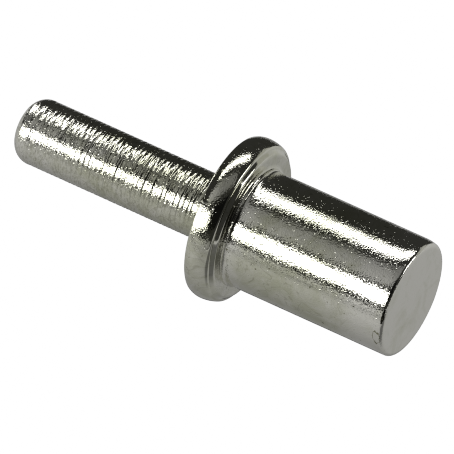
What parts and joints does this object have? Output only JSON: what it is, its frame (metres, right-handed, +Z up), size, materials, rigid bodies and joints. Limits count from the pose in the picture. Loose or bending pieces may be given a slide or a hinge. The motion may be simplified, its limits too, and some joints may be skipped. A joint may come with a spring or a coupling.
{
  "type": "shelf support pin",
  "caption": "Stepped shelf support pin of nickel-plated steel: a ringed plug with a rounded tip for the panel's hole, a stop collar, and a thicker plain stud that carries the shelf.",
  "frame": {"origin": "on the pin's axis, in the plane of the collar's seat, which is the face of the cabinet side that the pin is plugged into", "axes": "+X along the pin from the plug's tip to the stud's end, +Z up; the pin lies level, as in use"},
  "size_m": [0.0327, 0.0124, 0.0125],
  "materials": {
    "nickel_plate": "bright nickel plate with a fine orange-peel grain, over turned steel"
  },
  "bodies": {
    "root": {"support_pin": "nickel_plate"}
  },
  "joints": []
}
